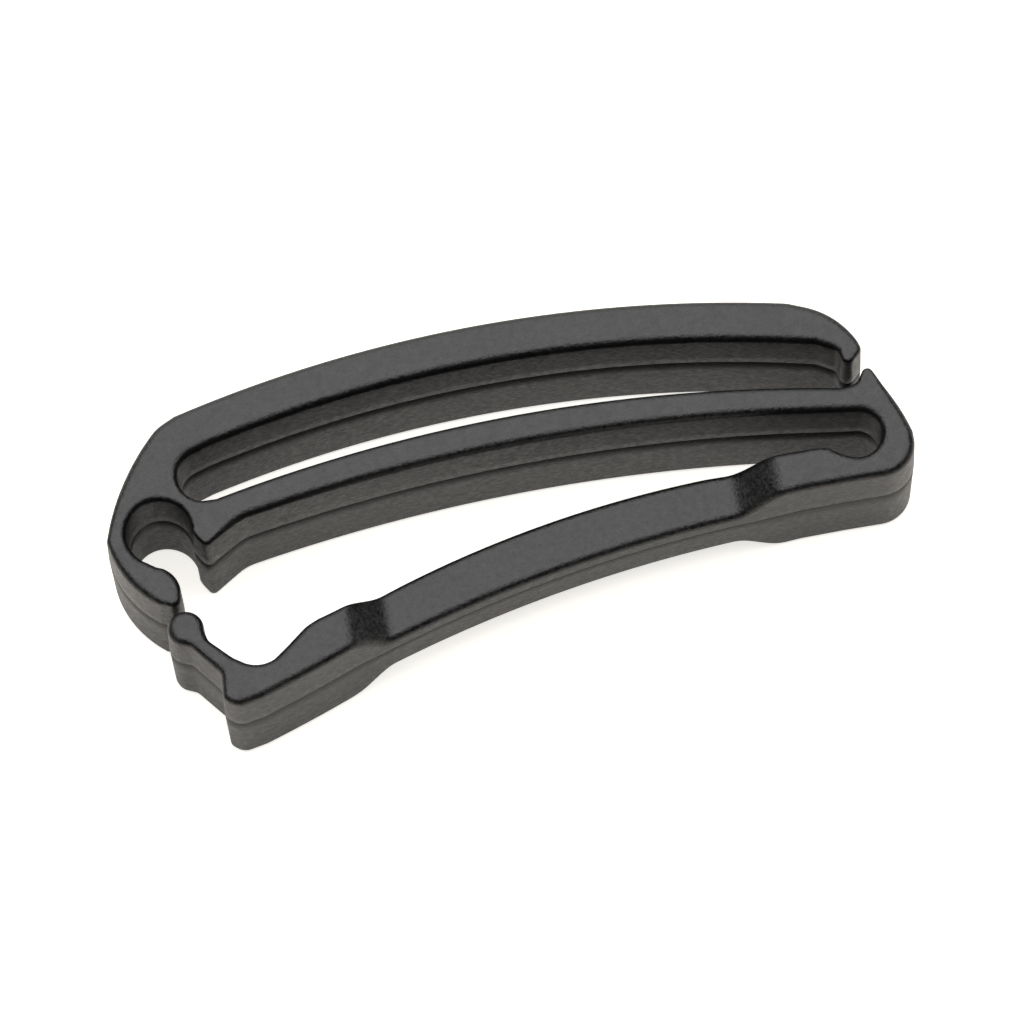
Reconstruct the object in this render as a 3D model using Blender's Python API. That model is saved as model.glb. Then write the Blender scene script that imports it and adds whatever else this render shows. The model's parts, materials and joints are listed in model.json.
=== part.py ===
"""Snap-gate strap slider: one moulding, modelled as its named sections.

The slider is a flat profile of nearly constant depth. It lies on its back
face: X runs along the bars, Y across the slots, Z through the depth. Lengths
below are millimetres in the profile's plane and are scaled to metres once.
"""
import math

import bmesh
import bpy
from mathutils import Matrix

MM = 0.001

# Overall form
DEPTH = 9.8          # through the moulding, front face to back face
EDGE_RADIUS = 0.28   # small round on every face edge
ORIGIN_Y = 3.53      # from the profile's zero line to the middle of the rest pose
SEAM_GAP = 0.2       # between sections of one moving piece
FLEX_GAP = 0.3       # between sections that move against each other

# Flexing places, each a point in the profile
GATE_PIVOT = (23.96, -4.1)
GATE_NECK_HALF = 1.0
GATE_NECK_RUN = 0.6
BAR_PIVOT = (-18.35, 3.78)
BAR_NECK_HALF = 1.38
BAR_NECK_START = 105.5   # degrees, where the half round meets its run
BAR_NECK_RUN = 1.2       # straight cut from the half round into the slot
JAW_PIVOT = (-24.33, -2.75)
JAW_NECK_HALF = 0.66
JAW_NECK_START = -2.0
JAW_NECK_RUN = 0.8

# Catch: a round socket in the left end, a round head on the gate
SOCKET_CENTRE = (-21.7, -2.5)
SOCKET_RADIUS = 1.98
HEAD_CENTRE = (-20.82, -8.92)
HEAD_RADIUS = 1.02

# Gate: both faces are recessed between two end pads
RECESS = 2.5         # step down from each face
RECESS_MARGIN = 0.02 # the cutters' ramps rise this far past the faces
RAMP_LEFT = (-11.6, -8.6)
RAMP_RIGHT = (16.6, 13.2)
RAMP_STEPS = 8
RECESS_REACH = 14.0  # how far the recess runs across the slots
RECESS_MIDDLE_Y = -10.4

# Cuts between sections of one piece: a point in the bar, and how far the cut
# runs below and above it
LEFT_SEAM = (-16.6, -1.75, 3.2, 2.6)
RIGHT_SEAM = (20.2, -1.45, 2.2, 2.3)
TIP_SEAM = (19.2, 3.6, 2.6, 8.0)
HINGE_SEAM = (20.95, -6.3, 3.0, 2.2)
ROOT_SEAM = (13.2, -6.1, 6.0, 2.4)
LATCH_SEAM = (-8.6, -9.8, 7.0, 5.0)
NECK_SEAM = (-19.4, -11.1, 2.0, 2.0)
NECK_AXIS_DEG = -57.0

# Corners of the sections at the catch
JAW_STEP = 0.15      # the upper jaw's top cut, below the left seam's point
JAW_CUT_X = -20.6    # left end of the upper jaw

# Section cutters run through the open slots at these points
UPPER_SLOT_MIDDLE = (0.0, 2.9)
LOWER_SLOT_MIDDLE = (0.0, -3.5)
SLIT_MIDDLE = [(20.8, 0.35), (21.65, -0.15), (23.6, 1.1), (31.0, 2.0)]
LIMIT = 31.0         # outside the moulding on every side
LOWER_JAW_CORNERS = [(-LIMIT, -7.5), (-21.0, -7.5), (-21.0, -4.3)]
LATCH_END_X = -22.0
HEAD_CORNERS = [(-25.0, -10.5), (-25.0, -7.6), (-18.6, -7.6)]

ARC_STEPS = 14       # points along a long arc
SOFT_STEPS = 5       # points along a softened corner
NECK_STEPS = 14      # points on a flexing neck's half round
FAR = 6.0            # how far section cutters reach past the moulding
WELD = 0.000001      # metres; closer points are one


def arc3(start, middle, end, steps=ARC_STEPS):
    """Points on the circle through three points, from start to end."""
    ax, ay = start
    bx, by = middle
    cx, cy = end
    d = 2.0 * (ax * (by - cy) + bx * (cy - ay) + cx * (ay - by))
    a2 = ax * ax + ay * ay
    b2 = bx * bx + by * by
    c2 = cx * cx + cy * cy
    ox = (a2 * (by - cy) + b2 * (cy - ay) + c2 * (ay - by)) / d
    oy = (a2 * (cx - bx) + b2 * (ax - cx) + c2 * (bx - ax)) / d
    radius = math.hypot(ax - ox, ay - oy)
    t0 = math.atan2(ay - oy, ax - ox)
    tm = (math.atan2(by - oy, bx - ox) - t0) % math.tau
    t1 = (math.atan2(cy - oy, cx - ox) - t0) % math.tau
    sweep = t1 if tm < t1 else t1 - math.tau
    turn = [t0 + sweep * k / steps for k in range(steps + 1)]
    return [(ox + radius * math.cos(t), oy + radius * math.sin(t)) for t in turn]


def arc(centre, radius, start_deg, end_deg, steps=ARC_STEPS):
    """Points on a circle from one angle to another."""
    a = math.radians(start_deg)
    b = math.radians(end_deg)
    turn = [a + (b - a) * k / steps for k in range(steps + 1)]
    return [(centre[0] + radius * math.cos(t), centre[1] + radius * math.sin(t)) for t in turn]


def walk(path, index, direction, distance):
    """The point a distance along a closed path, and the next index past it."""
    here = path[index]
    left = distance
    k = index
    while True:
        k = (k + direction) % len(path)
        step = math.dist(here[:2], path[k][:2])
        if step >= left:
            share = left / step
            x = here[0] + (path[k][0] - here[0]) * share
            y = here[1] + (path[k][1] - here[1]) * share
            return (x, y), k
        left -= step
        here = path[k]


def half_angle(before, corner, after):
    """Half the angle between the two sides that meet at a corner."""
    a = math.atan2(before[1] - corner[1], before[0] - corner[0])
    b = math.atan2(after[1] - corner[1], after[0] - corner[0])
    between = abs(a - b) % math.tau
    return min(between, math.tau - between) / 2.0


def soften(path):
    """Replace each corner (x, y, radius) of a closed path by a smooth bend."""
    count = len(path)
    gone = set()
    bends = {}
    for i, point in enumerate(path):
        if len(point) < 3:
            continue
        half = half_angle(path[i - 1], point, path[(i + 1) % count])
        setback = point[2] / math.tan(half)
        before, k0 = walk(path, i, -1, setback)
        after, k1 = walk(path, i, 1, setback)
        k = (k0 + 1) % count
        while k != k1:
            gone.add(k)
            k = (k + 1) % count
        bend = []
        for s in range(SOFT_STEPS + 1):
            t = s / SOFT_STEPS
            x = (1 - t) ** 2 * before[0] + 2 * t * (1 - t) * point[0] + t * t * after[0]
            y = (1 - t) ** 2 * before[1] + 2 * t * (1 - t) * point[1] + t * t * after[1]
            bend.append((x, y))
        bends[i] = bend
    out = []
    for i, point in enumerate(path):
        if i in bends:
            out.extend(bends[i])
        elif i not in gone:
            out.append(point[:2])
    return out


def outer_side():
    """Left side, top of the outer bar and down to its free tip."""
    left = arc3((-25.0, -2.5), (-23.83, 0.34), (-20.8, 4.3), 8)
    left[-1] = left[-1] + (2.6,)
    top = arc3((-19.6, 4.88), (1.0, 7.36), (18.9, 5.27), 22)
    bend = arc3((20.0, 4.8), (21.7, 3.6), (22.75, 1.95), 6)
    return left + top + bend + [(22.92, 1.32, 0.33), (21.68, 0.16, 0.32)]


def outer_slot():
    """Underside of the outer bar, slot end and top of the centre bar."""
    under = arc3((20.1, 2.18), (1.0, 4.6), (-17.9, 2.46), 22)
    end = arc3((-18.7, 2.2), (-19.95, 0.75), (-18.95, -0.85), 8)
    bar = arc3((-17.9, -0.88), (0.6, 1.13), (21.3, -0.84), 22)
    return [(21.3, 1.5, 0.5)] + under + end + bar


def right_side():
    """Shoulder beside the tip, right side and lower right corner."""
    shoulder = [(22.15, -0.62, 0.4), (22.93, 0.52, 0.32)]
    side = arc3((23.75, -1.2), (24.5, -2.85), (24.96, -4.4), 6)
    return shoulder + side + [(24.96, -7.1, 2.25)]


def gate_underside():
    """Gate's lower edge, from the hinge corner to the left shoulder."""
    return (
        [(20.3, -7.05), (17.6, -7.08)]
        + arc3((14.6, -7.28), (2.0, -8.65), (-8.6, -11.25), 14)
        + arc3((-11.2, -12.05), (-14.3, -13.2), (-17.3, -14.2), 5)
        + [(-18.75, -14.5, 0.9), (-19.5, -13.85, 0.4)]
    )


def gate_catch():
    """Shoulder, neck and round head, back to the notch beside the pad."""
    head = arc(HEAD_CENTRE, HEAD_RADIUS, 262.0, 2.0, 16)
    return (
        [(-19.46, -12.1, 0.4)]
        + [(-20.45, -10.75, 0.5)]
        + head
        + [(-19.68, -10.05, 0.4), (-18.45, -11.3)]
        + arc3((-17.95, -11.55), (-17.1, -11.82), (-16.1, -11.7), 5)
    )


def gate_upper():
    """Gate's upper edge, the bump and the pocket that thins its root."""
    return (
        [(-15.3, -10.95, 0.5)]
        + arc3((-13.8, -9.95), (-11.6, -9.22), (-8.7, -8.05), 5)
        + arc3((-7.4, -7.62), (2.0, -5.33), (12.0, -4.32), 14)
        + [(15.0, -4.36), (17.3, -4.36), (18.9, -4.4, 0.5)]
        + [(19.6, -4.55), (20.35, -5.05)]
    )


def lower_slot():
    """Round end of the lower slot and underside of the centre bar."""
    end = arc((21.5, -4.0), 1.44, 248.0, 432.0, 16)
    bar = arc3((20.4, -2.42), (1.0, -0.95), (-16.6, -2.6), 22)
    return end + bar


def socket():
    """Pointed upper jaw, round socket and the lower jaw's rounded nose."""
    round_socket = arc(SOCKET_CENTRE, SOCKET_RADIUS, -10.0, 236.0, 20)
    nose = [(-22.1, -4.95, 0.35), (-22.12, -6.9, 0.4)]
    return [(-19.05, -4.05, 0.34), (-19.6, -3.2)] + round_socket + nose


def lower_left():
    """Outside of the lower jaw up to the left side."""
    return arc3((-22.85, -7.0), (-24.3, -5.0), (-25.0, -2.5), 8)[:-1]


def moulding_outline():
    """The whole profile as one closed path."""
    path = outer_side() + outer_slot() + right_side() + gate_underside()
    path += gate_catch() + gate_upper() + lower_slot() + socket() + lower_left()
    return soften(path)


def metres(x, y):
    """A profile point in the model's frame."""
    return (x * MM, (y + ORIGIN_Y) * MM)


def clear_scene():
    for item in list(bpy.data.objects):
        bpy.data.objects.remove(item, do_unlink=True)


def new_collection(name):
    made = bpy.data.collections.new(name)
    bpy.context.scene.collection.children.link(made)
    return made


def weld(mesh):
    """Join a filled curve's coincident rim points into one closed skin."""
    work = bmesh.new()
    work.from_mesh(mesh)
    bmesh.ops.remove_doubles(work, verts=work.verts, dist=WELD)
    bmesh.ops.recalc_face_normals(work, faces=work.faces)
    work.to_mesh(mesh)
    work.free()


def filled_curve(name, outline, depth, edge_radius):
    """Mesh of a closed outline filled and extruded, face edges rounded."""
    curve = bpy.data.curves.new(name, "CURVE")
    curve.dimensions = "2D"
    curve.fill_mode = "BOTH"
    curve.extrude = (depth / 2.0 - edge_radius) * MM
    curve.bevel_depth = edge_radius * MM
    curve.bevel_resolution = 2
    curve.offset = -edge_radius * MM
    spline = curve.splines.new("POLY")
    spline.points.add(len(outline) - 1)
    for point, (x, y) in zip(spline.points, outline):
        point.co = (x, y, 0.0, 1.0)
    spline.use_cyclic_u = True
    holder = bpy.data.objects.new(name, curve)
    bpy.context.scene.collection.objects.link(holder)
    depsgraph = bpy.context.evaluated_depsgraph_get()
    mesh = bpy.data.meshes.new_from_object(holder.evaluated_get(depsgraph))
    bpy.data.objects.remove(holder, do_unlink=True)
    bpy.data.curves.remove(curve)
    mesh.name = name
    weld(mesh)
    return mesh


def blank(name, depth):
    """The whole profile at one depth, centred on the moulding's middle."""
    outline = [metres(x, y) for x, y in reversed(moulding_outline())]
    mesh = filled_curve(name, outline, depth, EDGE_RADIUS)
    mesh.transform(Matrix.Translation((0.0, 0.0, DEPTH / 2.0 * MM)))
    for face in mesh.polygons:
        face.use_smooth = abs(face.normal.z) < 0.999
    return mesh


def cutter(name, mesh, home):
    made = bpy.data.objects.new(name, mesh)
    made.hide_render = True
    made.display_type = "WIRE"
    home.objects.link(made)
    return made


def section_cutter(name, outline, home):
    """A section's outline carried through the whole depth and past it."""
    points = [metres(x, y) for x, y in outline]
    mesh = filled_curve(name, points, DEPTH + FAR, 0.0)
    made = cutter(name, mesh, home)
    made.location = (0.0, 0.0, DEPTH / 2.0 * MM)
    return made


def recess_cutter(name, side, home):
    """Space over the gate's thin middle: a floor with a smooth ramp each end."""
    floor = DEPTH / 2.0 - RECESS
    points = []
    for ramp in (RAMP_LEFT, RAMP_RIGHT[::-1]):
        for k in range(RAMP_STEPS + 1):
            t = k / RAMP_STEPS
            rise = (1.0 - math.cos(math.pi * t)) / 2.0
            fall = 1.0 - rise if ramp is RAMP_LEFT else rise
            x = ramp[0] + (ramp[1] - ramp[0]) * t
            points.append((x, floor + (RECESS + RECESS_MARGIN) * fall))
    points += [(RAMP_RIGHT[0], DEPTH), (RAMP_LEFT[0], DEPTH)]
    outline = [(x * MM, z * side * MM) for x, z in points]
    mesh = filled_curve(name, outline, RECESS_REACH, 0.0)
    made = cutter(name, mesh, home)
    made.rotation_euler = (math.pi / 2.0, 0.0, 0.0)
    made.location = (0.0, (RECESS_MIDDLE_Y + ORIGIN_Y) * MM, DEPTH / 2.0 * MM)
    return made


def neck(pivot, radius, start_deg, run_in, run_out):
    """Half round about a pivot, with a straight run to it and away from it."""
    ring = arc(pivot, radius, start_deg, start_deg + 180.0, NECK_STEPS)
    a = math.radians(start_deg)
    first = (ring[0][0] + math.cos(a) * run_in, ring[0][1] + math.sin(a) * run_in)
    last = (ring[-1][0] - math.cos(a) * run_out, ring[-1][1] - math.sin(a) * run_out)
    return [first] + ring + [last]


def seam(cut, side, axis_deg=0.0):
    """Lower and upper end of a straight cut, moved half a gap along its axis."""
    a = math.radians(axis_deg)
    x = cut[0] + math.cos(a) * side * SEAM_GAP / 2.0
    y = cut[1] + math.sin(a) * side * SEAM_GAP / 2.0
    low = (x + math.sin(a) * cut[2], y - math.cos(a) * cut[2])
    high = (x - math.sin(a) * cut[3], y + math.cos(a) * cut[3])
    return [low, high]


def left_end_section():
    bar = neck(BAR_PIVOT, BAR_NECK_HALF + FLEX_GAP, BAR_NECK_START, FAR, BAR_NECK_RUN)
    jaw = neck(JAW_PIVOT, JAW_NECK_HALF + FLEX_GAP, JAW_NECK_START, JAW_NECK_RUN, FAR)
    high = seam(LEFT_SEAM, -1)[1]
    step = LEFT_SEAM[1] - JAW_STEP
    return [(-LIMIT, LIMIT)] + bar + [high, (high[0], step), (JAW_CUT_X, step)] + jaw


def upper_jaw_section():
    low = seam(LEFT_SEAM, -1)[0]
    top = LEFT_SEAM[1] - JAW_STEP - SEAM_GAP
    return [(low[0], top), low, (JAW_CUT_X, low[1]), (JAW_CUT_X, top)]


def centre_bar_section():
    left = seam(LEFT_SEAM, 1)
    right = seam(RIGHT_SEAM, -1)
    return left + [UPPER_SLOT_MIDDLE] + right[::-1] + [LOWER_SLOT_MIDDLE]


def right_end_section():
    hinge = neck(GATE_PIVOT, GATE_NECK_HALF + FLEX_GAP, 0.0, FAR, GATE_NECK_RUN)
    return seam(RIGHT_SEAM, 1) + SLIT_MIDDLE + hinge


def outer_bar_section():
    root = neck(BAR_PIVOT, BAR_NECK_HALF, BAR_NECK_START, FAR, BAR_NECK_RUN)
    return root + [UPPER_SLOT_MIDDLE] + seam(TIP_SEAM, -1)


def outer_bar_tip_section():
    low, high = seam(TIP_SEAM, 1)
    return [high, low] + SLIT_MIDDLE + [(LIMIT, high[1])]


def latch_jaw_section():
    jaw = neck(JAW_PIVOT, JAW_NECK_HALF, JAW_NECK_START, JAW_NECK_RUN, FAR)
    return jaw + LOWER_JAW_CORNERS


def living_hinge_section():
    low, high = seam(HINGE_SEAM, 1)
    hinge = neck(GATE_PIVOT, GATE_NECK_HALF, 0.0, FAR, GATE_NECK_RUN)
    return hinge + [high, low, (LIMIT, low[1])]


def gate_root_section():
    return seam(HINGE_SEAM, -1) + seam(ROOT_SEAM, 1)[::-1]


def gate_bar_section():
    return seam(ROOT_SEAM, -1) + seam(LATCH_SEAM, 1)[::-1]


def gate_latch_end_section():
    low, high = seam(LATCH_SEAM, -1)
    neck_cut = seam(NECK_SEAM, 1, NECK_AXIS_DEG)
    return [low, high] + neck_cut[::-1] + [(LATCH_END_X, low[1])]


def latch_head_section():
    low, high = seam(NECK_SEAM, -1, NECK_AXIS_DEG)
    return [high, low] + HEAD_CORNERS


def plastic(name, tone):
    """Charcoal plastic, one material per section."""
    made = bpy.data.materials.new(name + "_plastic")
    made.use_nodes = True
    shader = made.node_tree.nodes["Principled BSDF"]
    shader.inputs["Base Color"].default_value = (tone, tone, tone * 0.97, 1.0)
    shader.inputs["Roughness"].default_value = 0.5
    made.diffuse_color = (tone, tone, tone * 0.97, 1.0)
    return made


def section(name, source, outline, pivot, tone, parts, cutters):
    """One named section of the moulding, its origin on its own flexing axis."""
    px, py = metres(*pivot)
    mesh = source.copy()
    mesh.name = name
    mesh.transform(Matrix.Translation((-px, -py, 0.0)))
    made = bpy.data.objects.new(name, mesh)
    made.location = (px, py, 0.0)
    mesh.materials.clear()
    mesh.materials.append(plastic(name, tone))
    parts.objects.link(made)
    cut = made.modifiers.new("section", "BOOLEAN")
    cut.operation = "INTERSECT"
    cut.solver = "EXACT"
    cut.object = section_cutter(name + "_section", outline, cutters)
    return made


def recess(made, cutters_pair):
    """Cut the ramps out of both faces of an end pad."""
    for k, tool in enumerate(cutters_pair):
        cut = made.modifiers.new("recess_%d" % k, "BOOLEAN")
        cut.operation = "DIFFERENCE"
        cut.solver = "EXACT"
        cut.object = tool


def build():
    clear_scene()
    parts = new_collection("buckle_slider")
    cutters = new_collection("cutters")
    full = blank("full_blank", DEPTH)
    slim = blank("slim_blank", DEPTH - 2.0 * RECESS)
    middle = (0.0, -ORIGIN_Y)
    plan = (
        ("left_end_block", full, left_end_section, middle, 0.050),
        ("upper_jaw", full, upper_jaw_section, middle, 0.062),
        ("centre_bar", full, centre_bar_section, middle, 0.056),
        ("right_end_block", full, right_end_section, middle, 0.050),
        ("outer_bar", full, outer_bar_section, BAR_PIVOT, 0.060),
        ("outer_bar_tip", full, outer_bar_tip_section, BAR_PIVOT, 0.066),
        ("latch_jaw", full, latch_jaw_section, JAW_PIVOT, 0.064),
        ("living_hinge", full, living_hinge_section, GATE_PIVOT, 0.068),
        ("gate_root", full, gate_root_section, GATE_PIVOT, 0.058),
        ("gate_bar", slim, gate_bar_section, GATE_PIVOT, 0.063),
        ("gate_latch_end", full, gate_latch_end_section, GATE_PIVOT, 0.058),
        ("latch_head", full, latch_head_section, GATE_PIVOT, 0.070),
    )
    made = {}
    for name, source, outline, pivot, tone in plan:
        made[name] = section(name, source, outline(), pivot, tone, parts, cutters)
    pair = (
        recess_cutter("recess_front", 1.0, cutters),
        recess_cutter("recess_back", -1.0, cutters),
    )
    recess(made["gate_root"], pair)
    recess(made["gate_latch_end"], pair)
    bpy.data.meshes.remove(full)
    bpy.data.meshes.remove(slim)


build()
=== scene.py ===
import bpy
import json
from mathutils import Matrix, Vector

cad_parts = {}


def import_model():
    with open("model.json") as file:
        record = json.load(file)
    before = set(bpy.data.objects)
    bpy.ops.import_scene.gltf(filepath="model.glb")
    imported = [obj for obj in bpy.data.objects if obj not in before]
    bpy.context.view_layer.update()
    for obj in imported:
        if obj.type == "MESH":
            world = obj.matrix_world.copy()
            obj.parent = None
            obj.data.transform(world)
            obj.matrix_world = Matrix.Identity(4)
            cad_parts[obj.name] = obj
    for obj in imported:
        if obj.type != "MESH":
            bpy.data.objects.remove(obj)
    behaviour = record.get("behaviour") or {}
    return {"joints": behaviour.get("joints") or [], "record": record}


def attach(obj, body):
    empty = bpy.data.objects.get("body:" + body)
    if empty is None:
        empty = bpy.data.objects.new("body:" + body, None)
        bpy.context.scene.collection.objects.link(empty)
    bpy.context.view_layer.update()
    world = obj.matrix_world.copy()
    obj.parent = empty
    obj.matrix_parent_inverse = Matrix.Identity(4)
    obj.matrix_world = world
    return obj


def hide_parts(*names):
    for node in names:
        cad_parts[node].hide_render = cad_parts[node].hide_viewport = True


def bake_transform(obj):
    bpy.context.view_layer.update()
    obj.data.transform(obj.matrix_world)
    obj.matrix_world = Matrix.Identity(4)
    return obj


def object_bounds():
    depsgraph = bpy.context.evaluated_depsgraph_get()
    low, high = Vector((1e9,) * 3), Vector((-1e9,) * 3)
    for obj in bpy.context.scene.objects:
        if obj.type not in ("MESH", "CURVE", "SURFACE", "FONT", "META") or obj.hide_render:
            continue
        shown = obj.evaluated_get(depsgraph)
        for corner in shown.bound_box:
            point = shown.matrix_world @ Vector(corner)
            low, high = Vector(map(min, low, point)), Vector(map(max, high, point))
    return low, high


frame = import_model()

# The real object is one moulding, so one dense skin of the whole profile is made here and then
# divided where the moulding flexes: a frame, hung on its body's empty, and three more pieces for
# the outer bar, latch jaw and gate. Lengths named below are millimetres in the profile's plane, as
# in the CAD model.
"""Looks of the snap-gate strap slider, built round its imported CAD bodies.

The real object is one moulding, so one dense skin of the whole profile is
made here and then divided where the moulding flexes: a frame that stands
still and three pieces that bend with their joints. Lengths named below are
millimetres in the profile's plane, as in the CAD model.
"""
import json
import math

import bmesh
import bpy
import numpy as np
from mathutils import Matrix, Vector
from mathutils.geometry import delaunay_2d_cdt

CAD_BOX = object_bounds()
MM = 0.001

# ---------------------------------------------------------------- profile
GATE_PIVOT = (23.96, -4.1)      # the profile's own point for the gate's joint
SOCKET_CENTRE = (-21.7, -2.5)
SOCKET_RADIUS = 1.98
HEAD_CENTRE = (-21.12, -8.87)
HEAD_RADIUS = 1.17
RECESS = 2.5                    # from each face down to the gate's thin bar
RAMP_LEFT = (-11.6, -8.6)       # where the recess's ramps start and end
RAMP_RIGHT = (16.6, 13.2)
GATE_TOP_Y = -3.6               # the gate's bar lies below this
LEAST_RUN = 0.02                # shorter steps of the outline are merged

# ------------------------------------------------------------------- skin
FILLET = 0.5           # round on the face edges
FILLET_STEPS = 8
FILLET_ROOM = 0.66     # share of a tight corner's radius that the round may use
FILLET_EASE = 4        # points over which the round's size changes
FLAT_SHARE = 0.36      # share of a bar's width that each edge's round may use
FACING_SHARE = 0.8     # how squarely two sides face each other to make a bar
FAR = 99.0             # a width wider than any bar
HOLD = 0.03            # narrow flat border that keeps the faces' shading flat
DRAFT_DEG = 0.9        # walls lean in from the parting line to each face
PARTING_SHARE = 0.61   # height of the parting line in the depth
GROOVE_HALF = 0.05     # the parting line is a fine V groove
GROOVE_DEPTH = 0.06
WALL_STEPS = 4
POINT_SPACING = 0.2    # along the outline
FACE_SPACING = 0.36    # between points inside the faces
FACE_CLEARANCE = 0.55  # share of that spacing kept clear at the border
BEND_STEPS = 8         # points round a softened corner
FLOOR_GAP = 0.03       # floor lies just under the part, so their faces don't coincide


def joint(name):
    """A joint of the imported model, by name."""
    return next(j for j in frame["joints"] if j["name"] == name)


HINGE = Vector(joint("gate_hinge")["pos_m"])
SHIFT = (HINGE.x / MM - GATE_PIVOT[0], HINGE.y / MM - GATE_PIVOT[1])
DEPTH = (CAD_BOX[1].z - CAD_BOX[0].z) / MM
BASE_Z = CAD_BOX[0].z
FLOOR_Z = BASE_Z - FLOOR_GAP * MM


def world(x, y, z=DEPTH / 2.0):
    """A profile point in the model's frame."""
    return Vector(((x + SHIFT[0]) * MM, (y + SHIFT[1]) * MM, BASE_Z + z * MM))


def steps_for(length):
    """How many steps a curve of this length takes."""
    return max(3, round(length / POINT_SPACING))


def arc(centre, radius, start_deg, end_deg):
    """Points on a circle from one angle to another."""
    a = math.radians(start_deg)
    b = math.radians(end_deg)
    steps = steps_for(abs(b - a) * radius)
    turn = [a + (b - a) * k / steps for k in range(steps + 1)]
    return [(centre[0] + radius * math.cos(t), centre[1] + radius * math.sin(t)) for t in turn]


def arc3(start, middle, end, least=3):
    """Points on the circle through three points, from start to end."""
    ax, ay = start
    bx, by = middle
    cx, cy = end
    d = 2.0 * (ax * (by - cy) + bx * (cy - ay) + cx * (ay - by))
    a2 = ax * ax + ay * ay
    b2 = bx * bx + by * by
    c2 = cx * cx + cy * cy
    ox = (a2 * (by - cy) + b2 * (cy - ay) + c2 * (ay - by)) / d
    oy = (a2 * (cx - bx) + b2 * (ax - cx) + c2 * (bx - ax)) / d
    radius = math.hypot(ax - ox, ay - oy)
    t0 = math.atan2(ay - oy, ax - ox)
    tm = (math.atan2(by - oy, bx - ox) - t0) % math.tau
    t1 = (math.atan2(cy - oy, cx - ox) - t0) % math.tau
    sweep = t1 if tm < t1 else t1 - math.tau
    steps = max(least, steps_for(abs(sweep) * radius))
    turn = [t0 + sweep * k / steps for k in range(steps + 1)]
    return [(ox + radius * math.cos(t), oy + radius * math.sin(t)) for t in turn]


def walk(path, index, direction, distance):
    """The point a distance along a closed path, and the next index past it."""
    here = path[index]
    left = distance
    k = index
    while True:
        k = (k + direction) % len(path)
        step = math.dist(here[:2], path[k][:2])
        if step >= left:
            share = left / step
            x = here[0] + (path[k][0] - here[0]) * share
            y = here[1] + (path[k][1] - here[1]) * share
            return (x, y), k
        left -= step
        here = path[k]


def rounded(before, corner, after, radius):
    """How far a corner's round reaches along each side, and its middle point."""
    a = (Vector(before[:2]) - Vector(corner[:2])).normalized()
    b = (Vector(after[:2]) - Vector(corner[:2])).normalized()
    half = a.angle(b) / 2.0
    middle = Vector(corner[:2]) + (a + b).normalized() * radius * (1.0 / math.sin(half) - 1.0)
    return radius / math.tan(half), tuple(middle)


def soften(path):
    """Replace each corner (x, y, radius) of a closed path by a round."""
    count = len(path)
    gone = set()
    bends = {}
    for i, point in enumerate(path):
        if len(point) < 3:
            continue
        reach, middle = rounded(path[i - 1], point, path[(i + 1) % count], point[2])
        before, k0 = walk(path, i, -1, reach)
        after, k1 = walk(path, i, 1, reach)
        k = (k0 + 1) % count
        while k != k1:
            gone.add(k)
            k = (k + 1) % count
        bends[i] = arc3(before, middle, after, BEND_STEPS)
    out = []
    for i, point in enumerate(path):
        if i in bends:
            out.extend(bends[i])
        elif i not in gone:
            out.append(point[:2])
    return out


def eased(points, radius):
    """The same points, their last one marked as a gentle corner."""
    return points[:-1] + [points[-1][:2] + (radius,)]


def outer_side():
    """Left side, top of the outer bar and down to its free tip."""
    left = arc3((-25.0, -2.5), (-23.83, 0.34), (-20.8, 4.3))
    top = arc3((-19.6, 4.88), (1.0, 7.36), (18.9, 5.27))
    bend = arc3((20.0, 4.8), (21.7, 3.6), (22.75, 1.95))
    return eased(left, 2.6) + eased(top, 3.0) + bend + [(22.92, 1.3, 0.58), (21.6, 0.08, 0.5)]


def outer_slot():
    """Underside of the outer bar, slot end and top of the centre bar."""
    under = arc3((20.1, 2.18), (1.0, 4.6), (-17.9, 2.46))
    end = arc3((-18.7, 2.2), (-19.95, 0.75), (-18.95, -0.85))
    bar = arc3((-17.9, -0.88), (0.6, 1.13), (21.3, -0.84))
    return [(21.3, 1.5, 0.5)] + eased(under, 2.5) + eased(end, 1.2) + eased(bar, 2.0)


def right_side():
    """Shoulder beside the tip, right side and lower right corner."""
    shoulder = [(22.15, -0.62, 0.5), (22.93, 0.56, 0.42)]
    side = arc3((23.75, -1.2), (24.5, -2.85), (24.96, -4.4))
    return shoulder + side + [(24.96, -7.1, 2.25)]


def gate_underside():
    """Gate's lower edge, from the hinge corner to the left shoulder."""
    return (
        [(20.3, -7.05), (17.6, -7.08, 4.0)]
        + eased(arc3((14.6, -7.28), (2.0, -8.65), (-8.6, -11.25)), 6.0)
        + arc3((-11.2, -12.05), (-14.3, -13.2), (-17.3, -14.2))
        + [(-18.85, -14.5, 1.1), (-19.66, -13.8, 0.6)]
    )


def gate_catch():
    """Shoulder, neck and round head, back to the notch beside the pad."""
    return (
        [(-19.54, -12.1, 0.6), (-21.06, -10.16, 0.5)]
        + arc(HEAD_CENTRE, HEAD_RADIUS, 236.0, -14.0)
        + [(-19.84, -9.86, 0.6), (-18.6, -11.15, 2.0)]
        + arc3((-17.95, -11.6), (-17.1, -11.88), (-16.1, -11.68))
    )


def gate_upper():
    """Gate's upper edge, the bump and the pocket that thins its root."""
    return (
        [(-15.3, -11.1, 1.4), (-13.9, -10.0, 2.5)]
        + eased(arc3((-13.1, -9.65), (-11.6, -9.2), (-8.7, -8.05)), 6.0)
        + arc3((-7.4, -7.62), (2.0, -5.33), (12.0, -4.32))
        + [(15.0, -4.36, 4.0), (17.3, -4.36), (18.9, -4.4, 0.8)]
        + [(19.6, -4.55), (20.35, -5.05, 0.5)]
    )


def lower_slot():
    """Round end of the lower slot and underside of the centre bar."""
    end = arc((21.5, -4.0), 1.44, 248.0, 432.0)
    bar = arc3((20.4, -2.42), (1.0, -0.95), (-16.6, -2.6))
    return eased(end, 1.2) + eased(bar, 3.0)


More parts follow.
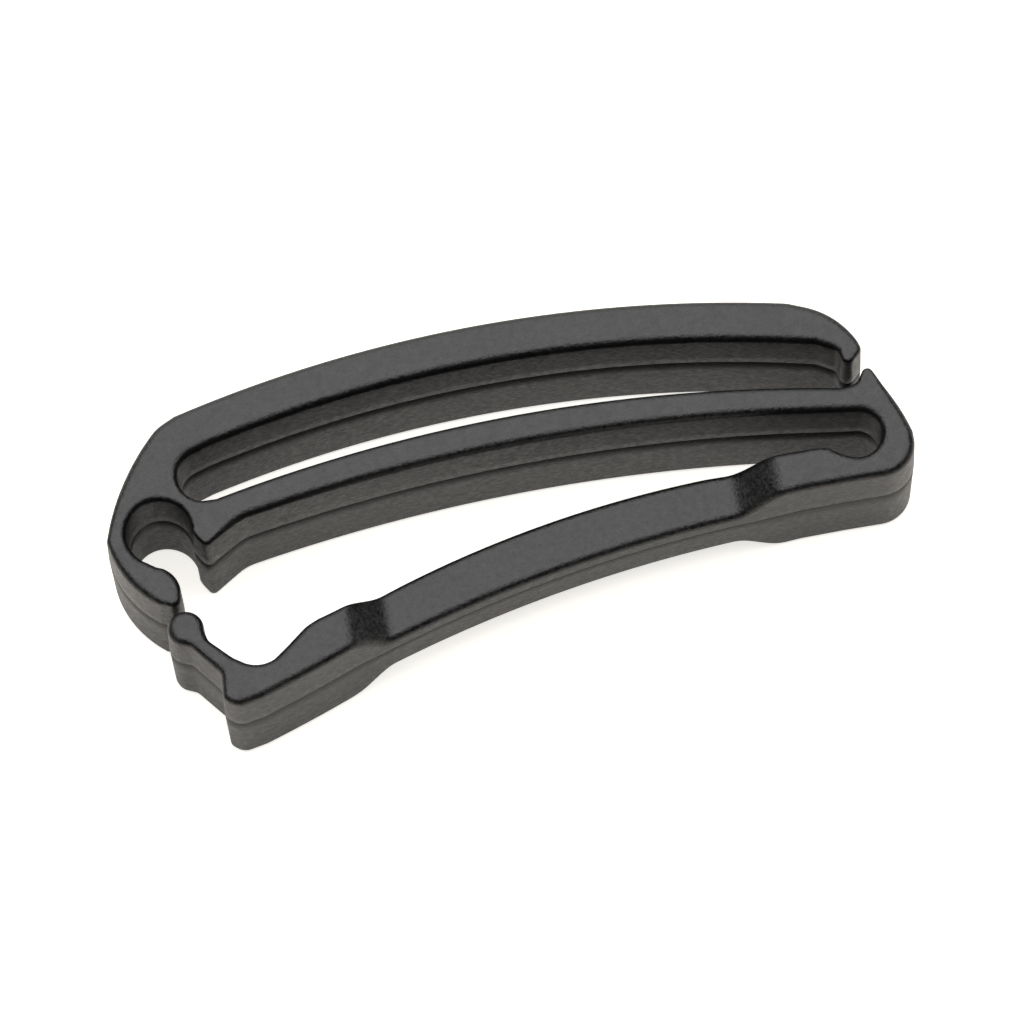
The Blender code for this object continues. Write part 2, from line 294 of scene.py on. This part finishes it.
def socket():
    """Pointed upper jaw, round socket and the lower jaw's rounded nose."""
    round_socket = arc(SOCKET_CENTRE, SOCKET_RADIUS, -10.0, 240.0)
    nose = [(-22.25, -4.55, 0.5)] + arc3((-21.8, -4.74), (-21.24, -5.3), (-20.94, -6.3))
    upper_jaw = [(-19.05, -4.05, 0.45), (-19.6, -3.2, 0.8)]
    return upper_jaw + round_socket + nose + [(-21.12, -7.72, 0.6)]


def lower_left():
    """Outside of the lower jaw up to the left side."""
    return arc3((-22.5, -7.12), (-23.9, -5.62), (-25.0, -2.5))[:-1]


def moulding_outline():
    """The whole profile as one closed path with even point spacing."""
    path = outer_side() + outer_slot() + right_side() + gate_underside()
    path += gate_catch() + gate_upper() + lower_slot() + socket() + lower_left()
    rough = soften(path)
    out = []
    for i, (x, y) in enumerate(rough):
        nx, ny = rough[(i + 1) % len(rough)]
        run = math.dist((x, y), (nx, ny))
        if run < LEAST_RUN:
            continue
        steps = max(1, round(run / POINT_SPACING))
        for k in range(steps):
            out.append((x + (nx - x) * k / steps, y + (ny - y) * k / steps))
    return np.array(out)


def inward_normals(points):
    """Unit normals that point into the material of a clockwise path."""
    ahead = np.roll(points, -1, axis=0) - points
    ahead /= np.linalg.norm(ahead, axis=1)[:, None]
    mean = ahead + np.roll(ahead, 1, axis=0)
    mean /= np.linalg.norm(mean, axis=1)[:, None]
    return np.stack([mean[:, 1], -mean[:, 0]], axis=1)


def half_depth(x, y):
    """From the moulding's middle plane to each face: the gate is recessed."""
    def smooth(t):
        return (1.0 - np.cos(np.pi * np.clip(t, 0.0, 1.0))) / 2.0
    left = smooth((x - RAMP_LEFT[0]) / (RAMP_LEFT[1] - RAMP_LEFT[0]))
    right = smooth((x - RAMP_RIGHT[0]) / (RAMP_RIGHT[1] - RAMP_RIGHT[0]))
    on_gate = np.where(y < GATE_TOP_Y, 1.0, 0.0)
    return DEPTH / 2.0 - RECESS * left * right * on_gate


def bar_widths(points):
    """At each point, the distance through the material to the other side."""
    normals = inward_normals(points)
    across = points[None, :, :] - points[:, None, :]
    gap = np.linalg.norm(across, axis=2)
    ahead = np.einsum("ijk,ik->ij", across, normals)
    facing = np.einsum("jk,ik->ij", normals, normals) < 0.0
    return np.where(facing & (ahead > FACING_SHARE * gap), gap, FAR).min(axis=1)


def fillet_sizes(points):
    """The face round at each point: full size, and smaller at tight corners."""
    ahead = np.roll(points, -1, axis=0) - points
    back = np.roll(ahead, 1, axis=0)
    cross = back[:, 0] * ahead[:, 1] - back[:, 1] * ahead[:, 0]
    lengths = np.linalg.norm(ahead, axis=1) * np.linalg.norm(back, axis=1)
    turn = np.maximum(-cross / lengths, 1e-6)
    step = (np.linalg.norm(ahead, axis=1) + np.linalg.norm(back, axis=1)) / 2.0
    size = np.minimum(FILLET, FILLET_ROOM * step / turn - HOLD)
    size = np.minimum(size, FLAT_SHARE * bar_widths(points) - HOLD)
    reach = range(-FILLET_EASE, FILLET_EASE + 1)
    size = np.min([np.roll(size, k) for k in reach], axis=0)
    return np.mean([np.roll(size, k) for k in reach], axis=0)


def ring_plan():
    """Each ring from the top face's border down to the parting line.

    A ring is (share of the wall's height, flat border, share of the round
    inward, share of the round down, edge mark).
    """
    rings = [(1.0, HOLD, 1.0, 0.0, 0.0)]
    for k in range(FILLET_STEPS + 1):
        a = math.pi / 2.0 * k / FILLET_STEPS
        # the edge mark peaks midway round the round; the material paints shade there and lowers the
        # roughness
        rings.append((1.0, 0.0, 1.0 - math.sin(a), 1.0 - math.cos(a), math.sin(2.0 * a)))
    for k in range(1, WALL_STEPS + 1):
        rings.append((1.0 - k / WALL_STEPS, 0.0, 0.0, 1.0, 0.0))
    return rings


def skin_rings(outline):
    """Points of every ring, top to bottom, with edge and parting marks."""
    normals = inward_normals(outline)
    fillet = fillet_sizes(outline)
    middle = DEPTH * PARTING_SHARE
    lean = math.tan(math.radians(DRAFT_DEG))
    layers = []
    for side in (1.0, -1.0):
        layer = []
        for share, border, inset, drop, edge in ring_plan():
            flat = half_depth(outline[:, 0], outline[:, 1])
            face = DEPTH / 2.0 + side * flat
            wall_end = abs(face - middle) - fillet
            lift = GROOVE_HALF + (wall_end - GROOVE_HALF) * share
            inward = border + inset * fillet + lean * lift
            x = outline[:, 0] + normals[:, 0] * inward
            y = outline[:, 1] + normals[:, 1] * inward
            shift = half_depth(x, y) - flat
            rise = lift + fillet * (1.0 - drop)
            z = middle + side * (rise + shift * share)
            layer.append((x, y, z, edge, 0.0))
        layers.append(layer)
    x = outline[:, 0] + normals[:, 0] * GROOVE_DEPTH
    y = outline[:, 1] + normals[:, 1] * GROOVE_DEPTH
    # the parting mark, where the material paints shade into the groove
    groove = (x, y, np.full(len(x), middle), 0.0, 1.0)
    return layers[0] + [groove] + layers[1][::-1]


def inside(points, loop):
    """Which points lie in a closed loop."""
    x = points[:, 0][:, None]
    y = points[:, 1][:, None]
    ax, ay = loop[:, 0], loop[:, 1]
    bx, by = np.roll(ax, -1), np.roll(ay, -1)
    straddles = (ay > y) != (by > y)
    rise = np.where(by == ay, 1e-12, by - ay)
    crossing = ax + (y - ay) / rise * (bx - ax)
    return (np.sum(straddles & (x < crossing), axis=1) % 2) == 1


def face_points(loop):
    """Even points inside a face, clear of its border."""
    low, high = loop.min(axis=0), loop.max(axis=0)
    row = FACE_SPACING * math.sqrt(3.0) / 2.0
    rows = np.arange(low[1], high[1], row)
    grid = []
    for k, y in enumerate(rows):
        xs = np.arange(low[0] + (k % 2) * FACE_SPACING / 2.0, high[0], FACE_SPACING)
        grid.append(np.stack([xs, np.full(len(xs), y)], axis=1))
    grid = np.concatenate(grid)
    grid = grid[inside(grid, loop)]
    gap = np.array([np.min(np.hypot(loop[:, 0] - p[0], loop[:, 1] - p[1])) for p in grid])
    return grid[gap > FACE_SPACING * FACE_CLEARANCE]


def fill_face(loop, first_index, start, upward):
    """Triangles over a face: its border ring and points inside it."""
    extra = face_points(loop)
    points = [Vector(p) for p in loop] + [Vector(p) for p in extra]
    border = list(range(len(loop)))
    verts, _, faces, origin, _, _ = delaunay_2d_cdt(points, [], [border], 1, 1e-7)
    index = {}
    for new, old in enumerate(origin):
        k = old[0]
        index[new] = first_index + k if k < len(loop) else start + k - len(loop)
    z = DEPTH / 2.0 + (1.0 if upward else -1.0) * half_depth(extra[:, 0], extra[:, 1])
    made = [(p[0], p[1], h) for p, h in zip(extra, z)]
    return made, [[index[v] for v in f] for f in faces]


def build_skin():
    """The whole moulding's vertices, faces and vertex marks."""
    outline = moulding_outline()
    count = len(outline)
    rings = skin_rings(outline)
    verts = []
    marks = []
    for x, y, z, edge, parting in rings:
        verts += list(zip(x, y, z))
        marks += [(edge, parting)] * count
    faces = []
    for r in range(len(rings) - 1):
        for i in range(count):
            j = (i + 1) % count
            faces.append((r * count + i, r * count + j, (r + 1) * count + j, (r + 1) * count + i))
    for ring, upward in ((0, True), (len(rings) - 1, False)):
        loop = np.stack([rings[ring][0], rings[ring][1]], axis=1)
        made, cap = fill_face(loop, ring * count, len(verts), upward)
        verts += made
        marks += [(0.0, 0.0)] * len(made)
        faces += cap
    return verts, faces, marks


verts, faces, marks = build_skin()

# ----------------------------------------------------- division into pieces
UPPER_SLOT = [(-19.0, 0.8), (-12.0, 2.05), (0.0, 2.9), (12.0, 2.2), (20.0, 0.75),
              (20.8, 0.35), (21.65, -0.15), (23.6, 1.1), (31.0, 2.0)]
BAR_CUT = (-19.5, 3.5)
BAR_AXIS_DEG = 15.5
JAW_CUT_Y = -1.95
JAW_CUT_X = -22.3
JAW_NOSE = (-20.6, -4.4)       # the jaw's nose lies left of and below this
GATE_CUT_Y = -2.75
GATE_LATCH_TOP_Y = -7.52       # top of the gate's latch end
GATE_LATCH_X = -12.0           # right of the latch end
GATE_ROOT_X = 18.0             # left of the gate's root


def piece_of(x, y):
    """Which piece of the skin a point of the profile belongs to."""
    if x < GATE_LATCH_X:
        gate_top = GATE_LATCH_TOP_Y
    elif x <= GATE_ROOT_X:
        gate_top = GATE_TOP_Y
    else:
        gate_top = GATE_CUT_Y
    if y < gate_top:
        return "gate"
    on_jaw_back = y < JAW_CUT_Y and x < JAW_CUT_X
    on_jaw_nose = y < JAW_NOSE[1] and x < JAW_NOSE[0]
    if on_jaw_back or on_jaw_nose:
        return "latch_jaw"
    a = math.radians(BAR_AXIS_DEG)
    along = (x - BAR_CUT[0]) * math.cos(a) + (y - BAR_CUT[1]) * math.sin(a)
    slot_x, slot_y = zip(*UPPER_SLOT)
    if along > 0.0 and y > np.interp(x, slot_x, slot_y):
        return "outer_bar"
    return "frame"


def skin_piece(name, part):
    """One piece of the skin, with its rest place and marks on its points."""
    chosen = [f for f, label in zip(faces, labels) if label == part]
    used = sorted({v for f in chosen for v in f})
    index = {v: k for k, v in enumerate(used)}
    mesh = bpy.data.meshes.new(name)
    places = [world(*verts[v]) for v in used]
    mesh.from_pydata(places, [], [[index[v] for v in f] for f in chosen])
    mesh.update()
    for key, slot in (("edge", 0), ("parting", 1)):
        attribute = mesh.attributes.new(key, "FLOAT", "POINT")
        attribute.data.foreach_set("value", [marks[v][slot] for v in used])
    rest = mesh.attributes.new("rest", "FLOAT_VECTOR", "POINT")
    rest.data.foreach_set("vector", [c for p in places for c in p])
    mesh.shade_smooth()
    mesh.normals_split_custom_set_from_vertices([normals[v] for v in used])
    made = bpy.data.objects.new(name, mesh)
    bpy.context.scene.collection.objects.link(made)
    return made


def whole_normals():
    """Normals of the undivided skin, so that no cut shows. Turns faces outward."""
    global faces
    mesh = bpy.data.meshes.new("whole")
    mesh.from_pydata([world(*v) for v in verts], [], faces)
    work = bmesh.new()
    work.from_mesh(mesh)
    bmesh.ops.recalc_face_normals(work, faces=work.faces)
    work.to_mesh(mesh)
    work.free()
    faces = [tuple(p.vertices) for p in mesh.polygons]
    out = [n.vector.copy() for n in mesh.vertex_normals]
    bpy.data.meshes.remove(mesh)
    return out


normals = whole_normals()
labels = []
for f in faces:
    cx = sum(verts[v][0] for v in f) / len(f)
    cy = sum(verts[v][1] for v in f) / len(f)
    labels.append(piece_of(cx, cy))


# --------------------------------------------------------------- materials
GRAIN_SCALE = 5200.0
FLECK_SCALE = 2600.0
CLOUD_SCALE = 260.0
GRAIN_SHARE = 0.65             # of the tone's speckle, the rest is fleck
TONE_DARK = (0.32, (0.002, 0.002, 0.0022, 1.0))
TONE_LIGHT = (0.68, (0.034, 0.0338, 0.0335, 1.0))
FLOW_SHARE = 0.5
FLOW_DARK = (0.3, (0.6, 0.6, 0.62, 1.0))
FLOW_LIGHT = (0.7, (1.0, 0.99, 0.97, 1.0))
# Painted shade: near-black colour laid along the face-edge rounds for the dark reflections on them.
EDGE_SHADE_COLOUR = (0.0015, 0.0015, 0.0016, 1.0)
# Painted shade: darker colour laid along the bottom of the parting line's groove.
PARTING_SHADE_COLOUR = (0.003, 0.003, 0.003, 1.0)
ROUGHNESS = (0.33, 0.54)
EDGE_POLISH = -0.06            # change of roughness on the rounds
GRAIN_HEIGHT = 0.00005
CLOUD_HEIGHT = 0.00002
PLASTIC_IOR = 1.49


def node(tree, kind, **values):
    """A shader node; values that start with in_ set its sockets."""
    made = tree.nodes.new(kind)
    for key, value in values.items():
        if key.startswith("in_"):
            made.inputs[key[3:].replace("_", " ")].default_value = value
        else:
            setattr(made, key, value)
    return made


def moulded_plastic():
    """Black plastic with a fine moulded grain, with painted shade darkening its rounded edges,
    where the roughness is also a little lower.
    """
    made = bpy.data.materials.new("moulded_plastic")
    made.use_nodes = True
    tree = made.node_tree
    link = tree.links.new
    shader = tree.nodes["Principled BSDF"]
    rest = node(tree, "ShaderNodeAttribute", attribute_name="rest")
    edge = node(tree, "ShaderNodeAttribute", attribute_name="edge")
    parting = node(tree, "ShaderNodeAttribute", attribute_name="parting")

    grain = node(tree, "ShaderNodeTexNoise", in_Scale=GRAIN_SCALE, in_Detail=3.0, in_Roughness=0.6)
    fleck = node(tree, "ShaderNodeTexNoise", in_Scale=FLECK_SCALE, in_Detail=2.0, in_Roughness=0.7)
    cloud = node(tree, "ShaderNodeTexNoise", in_Scale=CLOUD_SCALE, in_Detail=4.0, in_Roughness=0.55)
    for texture in (grain, fleck, cloud):
        link(rest.outputs["Vector"], texture.inputs["Vector"])

    speck = node(tree, "ShaderNodeMath", operation="MULTIPLY_ADD")
    speck.inputs[1].default_value = GRAIN_SHARE
    link(grain.outputs["Fac"], speck.inputs[0])
    share = node(tree, "ShaderNodeMath", operation="MULTIPLY")
    share.inputs[1].default_value = 1.0 - GRAIN_SHARE
    link(fleck.outputs["Fac"], share.inputs[0])
    link(share.outputs["Value"], speck.inputs[2])

    tone = node(tree, "ShaderNodeValToRGB")
    for stop, (place, colour) in zip(tone.color_ramp.elements, (TONE_DARK, TONE_LIGHT)):
        stop.position = place
        stop.color = colour
    link(speck.outputs["Value"], tone.inputs["Fac"])
    flow = node(tree, "ShaderNodeMix", data_type="RGBA", blend_type="MULTIPLY")
    flow.inputs["Factor"].default_value = FLOW_SHARE
    shade = node(tree, "ShaderNodeValToRGB")
    for stop, (place, colour) in zip(shade.color_ramp.elements, (FLOW_DARK, FLOW_LIGHT)):
        stop.position = place
        stop.color = colour
    link(cloud.outputs["Fac"], shade.inputs["Fac"])
    link(tone.outputs["Color"], flow.inputs["A"])
    link(shade.outputs["Color"], flow.inputs["B"])
    # painted shade: the edge mark darkens the rounds toward near black
    painted_edge_shade = node(tree, "ShaderNodeMix", data_type="RGBA")
    painted_edge_shade.inputs["B"].default_value = EDGE_SHADE_COLOUR
    link(edge.outputs["Fac"], painted_edge_shade.inputs["Factor"])
    link(flow.outputs["Result"], painted_edge_shade.inputs["A"])
    # painted shade: the parting mark darkens the groove of the parting line
    painted_groove_shade = node(tree, "ShaderNodeMix", data_type="RGBA")
    painted_groove_shade.inputs["B"].default_value = PARTING_SHADE_COLOUR
    link(parting.outputs["Fac"], painted_groove_shade.inputs["Factor"])
    link(painted_edge_shade.outputs["Result"], painted_groove_shade.inputs["A"])
    link(painted_groove_shade.outputs["Result"], shader.inputs["Base Color"])

    rough = node(tree, "ShaderNodeMapRange")
    rough.inputs["From Min"].default_value = 0.3
    rough.inputs["From Max"].default_value = 0.7
    rough.inputs["To Min"].default_value = ROUGHNESS[0]
    rough.inputs["To Max"].default_value = ROUGHNESS[1]
    link(fleck.outputs["Fac"], rough.inputs["Value"])
    worn = node(tree, "ShaderNodeMath", operation="MULTIPLY_ADD")
    worn.inputs[1].default_value = EDGE_POLISH
    link(edge.outputs["Fac"], worn.inputs[0])
    link(rough.outputs["Result"], worn.inputs[2])
    link(worn.outputs["Value"], shader.inputs["Roughness"])

    bump = node(tree, "ShaderNodeBump", in_Strength=1.0, in_Distance=GRAIN_HEIGHT)
    link(grain.outputs["Fac"], bump.inputs["Height"])
    wave = node(tree, "ShaderNodeBump", in_Strength=1.0, in_Distance=CLOUD_HEIGHT)
    link(cloud.outputs["Fac"], wave.inputs["Height"])
    link(bump.outputs["Normal"], wave.inputs["Normal"])
    link(wave.outputs["Normal"], shader.inputs["Normal"])
    shader.inputs["IOR"].default_value = PLASTIC_IOR
    return made


PLASTIC = moulded_plastic()


def finish_piece(made, stands_for):
    """Material, and the CAD nodes that the piece stands for."""
    made.data.materials.append(PLASTIC)
    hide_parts(*stands_for)


NODES_OF = frame["record"]["behaviour"]["bodies"]
FRAME_SKIN = skin_piece("frame_moulding", "frame")
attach(FRAME_SKIN, "frame")
finish_piece(FRAME_SKIN, NODES_OF["frame"])

BAR_SKIN = skin_piece("outer_bar_moulding", "outer_bar")
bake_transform(BAR_SKIN)
finish_piece(BAR_SKIN, NODES_OF["outer_bar"])

JAW_SKIN = skin_piece("latch_jaw_moulding", "latch_jaw")
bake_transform(JAW_SKIN)
finish_piece(JAW_SKIN, NODES_OF["latch_jaw"])

GATE_SKIN = skin_piece("gate_moulding", "gate")
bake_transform(GATE_SKIN)
finish_piece(GATE_SKIN, NODES_OF["gate"])

# ------------------------------------------------------------ floor, light
FLOOR_RADIUS = 3.0
FLOOR_RINGS = (0.05, 0.15, 0.5, 1.5, FLOOR_RADIUS)
FLOOR_SIDES = 64
FLOOR_GLOW = 0.3        # the floor is a faintly lit sheet
FLOOR_GLOW_SEEN = 0.75  # as the camera sees it, close to white paper


def floor():
    """A wide round sheet of pale paper."""
    mesh = bpy.data.meshes.new("floor")
    points = [(0.0, 0.0, FLOOR_Z)]
    for radius in FLOOR_RINGS:
        for k in range(FLOOR_SIDES):
            a = math.tau * k / FLOOR_SIDES
            points.append((radius * math.cos(a), radius * math.sin(a), FLOOR_Z))
    sheets = [(0, 1 + k, 1 + (k + 1) % FLOOR_SIDES) for k in range(FLOOR_SIDES)]
    for r in range(len(FLOOR_RINGS) - 1):
        for k in range(FLOOR_SIDES):
            n = (k + 1) % FLOOR_SIDES
            a = 1 + r * FLOOR_SIDES
            b = a + FLOOR_SIDES
            sheets.append((a + k, b + k, b + n, a + n))
    mesh.from_pydata(points, [], sheets)
    made = bpy.data.objects.new("floor", mesh)
    bpy.context.scene.collection.objects.link(made)
    paper = bpy.data.materials.new("floor_paper")
    paper.use_nodes = True
    tree = paper.node_tree
    shader = tree.nodes["Principled BSDF"]
    shader.inputs["Base Color"].default_value = (0.9, 0.85, 0.78, 1.0)
    shader.inputs["Roughness"].default_value = 0.9
    shader.inputs["Specular IOR Level"].default_value = 0.0
    shader.inputs["Emission Color"].default_value = (1.0, 0.985, 0.95, 1.0)
    path = node(tree, "ShaderNodeLightPath")
    glow = node(tree, "ShaderNodeMapRange")
    glow.inputs["To Min"].default_value = FLOOR_GLOW
    glow.inputs["To Max"].default_value = FLOOR_GLOW_SEEN
    tree.links.new(path.outputs["Is Camera Ray"], glow.inputs["Value"])
    tree.links.new(glow.outputs["Result"], shader.inputs["Emission Strength"])
    mesh.materials.append(paper)


def panel(name, place, target, size_x, size_y, radiance, colour=(1.0, 1.0, 1.0)):
    """A soft light panel of a given brightness that faces a target."""
    data = bpy.data.lights.new(name, "AREA")
    data.shape = "RECTANGLE"
    data.size = size_x
    data.size_y = size_y
    data.energy = radiance * size_x * size_y * math.pi
    data.color = colour
    made = bpy.data.objects.new(name, data)
    bpy.context.scene.collection.objects.link(made)
    made.location = place
    back = (Vector(place) - Vector(target)).normalized()
    made.rotation_euler = back.to_track_quat("Z", "Y").to_euler()
    made.visible_camera = False
    return made


def studio():
    """Two soft panels and a dim surrounding that the camera sees as pale."""
    panel("overhead_panel", (0.0, 0.46, 0.8), (0.0, 0.46, 0.0), 1.2, 1.4, 2.9)
    panel("back_panel", (0.0, 1.5, 0.55), (0.0, 0.0, 0.05), 1.8, 0.8, 1.4)
    air = bpy.data.worlds.new("studio")
    air.use_nodes = True
    tree = air.node_tree
    dim = tree.nodes["Background"]
    dim.inputs["Color"].default_value = (0.04, 0.04, 0.042, 1.0)
    pale = node(tree, "ShaderNodeBackground")
    pale.inputs["Color"].default_value = (0.95, 0.95, 0.94, 1.0)
    path = node(tree, "ShaderNodeLightPath")
    mix = node(tree, "ShaderNodeMixShader")
    out = tree.nodes["World Output"]
    tree.links.new(path.outputs["Is Camera Ray"], mix.inputs["Fac"])
    tree.links.new(dim.outputs["Background"], mix.inputs[1])
    tree.links.new(pale.outputs["Background"], mix.inputs[2])
    tree.links.new(mix.outputs["Shader"], out.inputs["Surface"])
    bpy.context.scene.world = air
    bpy.context.scene.view_settings.view_transform = "Standard"


floor()
studio()

# ----------------------------------------------------------------- camera
CAMERA_AZIMUTH_DEG = -7.32
CAMERA_ELEVATION_DEG = 70.95
CAMERA_ROLL_DEG = 3.05
CAMERA_DISTANCE = 0.5356
CAMERA_LENS = 304.8
CAMERA_SENSOR = 36.0


def camera():
    """The photograph's viewing angle, aimed at the middle of the part."""
    a = math.radians(CAMERA_AZIMUTH_DEG)
    e = math.radians(CAMERA_ELEVATION_DEG)
    r = math.radians(CAMERA_ROLL_DEG)
    back = Vector((math.sin(a) * math.cos(e), -math.cos(a) * math.cos(e), math.sin(e)))
    level = Vector((math.cos(a), math.sin(a), 0.0))
    up = back.cross(level)
    right = level * math.cos(r) - up * math.sin(r)
    up = back.cross(right)
    data = bpy.data.cameras.new("camera")
    data.lens = CAMERA_LENS
    data.sensor_width = CAMERA_SENSOR
    data.clip_start = 0.01
    data.clip_end = 20.0
    made = bpy.data.objects.new("camera", data)
    bpy.context.scene.collection.objects.link(made)
    centre = (CAD_BOX[0] + CAD_BOX[1]) / 2.0
    place = centre + back * CAMERA_DISTANCE
    turn = Matrix((right, up, back)).transposed().to_4x4()
    made.matrix_world = Matrix.Translation(place) @ turn
    bpy.context.scene.camera = made


camera()
